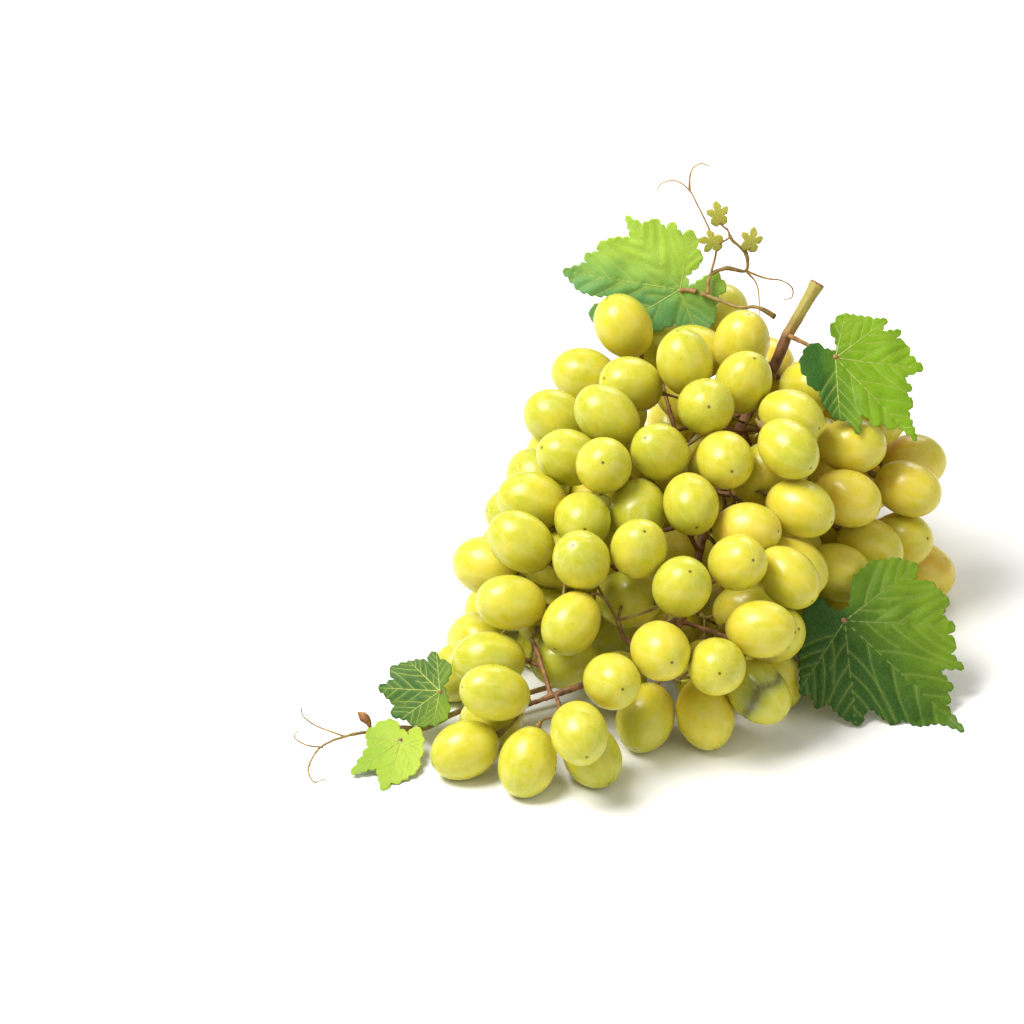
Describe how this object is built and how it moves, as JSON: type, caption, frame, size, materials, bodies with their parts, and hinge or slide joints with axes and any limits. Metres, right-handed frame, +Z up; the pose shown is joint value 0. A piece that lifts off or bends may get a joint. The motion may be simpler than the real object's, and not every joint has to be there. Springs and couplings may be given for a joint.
{
  "type": "bunch of white grapes with leaves",
  "caption": "Bunch of oval white table grapes lying down, on a branched stem with vine leaves, a cut peduncle, young shoots and curling tendrils.",
  "frame": {"origin": "middle of the bounding box, at the height of the surface that the bunch lies on", "axes": "+Z up; +Y from the tip of the bunch towards its cut stem; +X to the right, seen from the tip"},
  "size_m": [0.239, 0.2332, 0.1505],
  "materials": {
    "berries": "thin waxy grape skin, yellow-green turning amber, half translucent",
    "stem": "dry brown woody stem, green under the bark",
    "shoot": "thin tan-brown shoot and tendrils",
    "leaf": "matt vine leaf, dark green to yellow-green, with pale veins",
    "young_leaf": "matt young leaf, ochre-green"
  },
  "bodies": {
    "root": {"cane_arch": "stem", "leaf_high_left": "leaf", "leaf_high_right": "leaf", "leaf_low_bright": "leaf", "leaf_low_dark": "leaf", "leaf_low_right": "leaf", "side_shoot": "shoot", "sprig_01": "berries", "sprig_02": "berries", "sprig_03": "berries", "sprig_04": "berries", "sprig_05": "berries", "sprig_06": "berries", "sprig_07": "berries", "sprig_08": "berries", "sprig_09": "berries", "sprig_10": "berries", "sprig_11": "berries", "sprig_12": "berries", "sprig_13": "berries", "sprig_14": "berries", "sprig_15": "berries", "sprig_16": "berries", "sprig_17": "berries", "sprig_18": "berries", "sprig_19": "berries", "sprig_20": "berries", "sprig_21": "berries", "sprig_22": "berries", "sprig_23": "berries", "sprig_24": "berries", "sprig_25": "berries", "sprig_26": "berries", "sprig_27": "berries", "sprig_28": "berries", "sprig_29": "berries", "sprig_30": "berries", "sprig_31": "berries", "sprig_32": "berries", "sprig_33": "berries", "sprig_34": "berries", "sprig_35": "berries", "sprig_36": "berries", "sprig_37": "berries", "sprig_38": "berries", "sprig_39": "berries", "sprig_40": "berries", "sprig_41": "berries", "sprig_42": "berries", "sprig_43": "berries", "sprig_44": "berries", "stem_skeleton": "stem", "upper_shoot": "shoot", "young_leaf_1": "young_leaf", "young_leaf_2": "young_leaf", "young_leaf_3": "young_leaf"}
  },
  "joints": []
}
